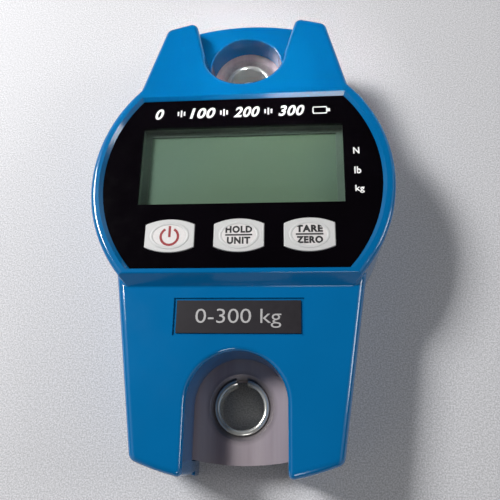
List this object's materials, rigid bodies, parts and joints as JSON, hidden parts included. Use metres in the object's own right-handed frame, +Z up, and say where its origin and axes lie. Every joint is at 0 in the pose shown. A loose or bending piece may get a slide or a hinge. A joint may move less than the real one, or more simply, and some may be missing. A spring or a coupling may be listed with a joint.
{
  "type": "hanging scale",
  "caption": "Compact digital hanging scale lying on its back: round-headed cast case, blank display, press keys, and a load cell plate with a bushed eye at each end.",
  "frame": {"origin": "middle of the outline's bounding box on the flat back face", "axes": "+Z up out of the display face, +Y along the scale towards the upper (hanging) eye, +X to the reader's right"},
  "size_m": [0.1, 0.1616, 0.037],
  "materials": {
    "case_paint": "gloss blue powder-coated die casting",
    "panel_black": "gloss black",
    "clear_window": "clear",
    "black_plastic": "satin black",
    "lcd_green": "grey-green liquid crystal glass",
    "diffuser_white": "matt white",
    "rubber_grey": "matt",
    "board_green": "solder mask",
    "steel_plated": "zinc plated",
    "bush_steel": "polished",
    "cell_aluminium": "brushed satin",
    "gauge_foil": "satin foil",
    "sealant_white": "matt white",
    "lead_red": "satin",
    "key_white": "satin white",
    "label_grey": "satin dark grey",
    "rating_silver": "satin silver",
    "cell_jacket": "printed jacket",
    "contact_nickel": "nickel plated"
  },
  "bodies": {
    "case": {"front_housing": "case_paint", "rear_housing": "case_paint", "display_panel": "panel_black", "display_window": "clear_window", "lcd_bezel": "black_plastic", "lcd_glass": "lcd_green", "lcd_backlight": "diffuser_white", "lcd_connector": "rubber_grey", "main_board": "board_green", "board_chips": "black_plastic", "board_sockets": "diffuser_white", "board_screws": "steel_plated", "buzzer": "black_plastic", "key_switches": "black_plastic", "load_cell": "cell_aluminium", "upper_bush": "bush_steel", "lower_bush": "bush_steel", "strain_gauges": "gauge_foil", "gauge_sealant": "sealant_white", "sensor_leads": "lead_red", "cell_screws": "steel_plated", "case_screws": "steel_plated", "capacity_plate": "label_grey", "rating_plate": "rating_silver", "battery_tray": "black_plastic", "battery_cells": "cell_jacket", "battery_contacts": "contact_nickel", "battery_leads": "lead_red"},
    "door": {"battery_door": "case_paint"},
    "power_button": {"power_key": "key_white", "power_plunger": "steel_plated"},
    "hold_unit_button": {"hold_unit_key": "key_white", "hold_unit_plunger": "steel_plated"},
    "tare_zero_button": {"tare_zero_key": "key_white", "tare_zero_plunger": "steel_plated"}
  },
  "joints": [
    {"name": "power_press", "type": "slide", "parent": "case", "child": "power_button", "axis": [0, 0, -1], "range_m": [0, 0.0005], "stiffness_N_per_m": 2000},
    {"name": "hold_unit_press", "type": "slide", "parent": "case", "child": "hold_unit_button", "axis": [0, 0, -1], "range_m": [0, 0.0005], "stiffness_N_per_m": 2000},
    {"name": "tare_zero_press", "type": "slide", "parent": "case", "child": "tare_zero_button", "axis": [0, 0, -1], "range_m": [0, 0.0005], "stiffness_N_per_m": 2000},
    {"name": "battery_door_slide", "type": "slide", "parent": "case", "child": "door", "axis": [-1, 0, 0], "range_m": [0, 0.028]}
  ]
}
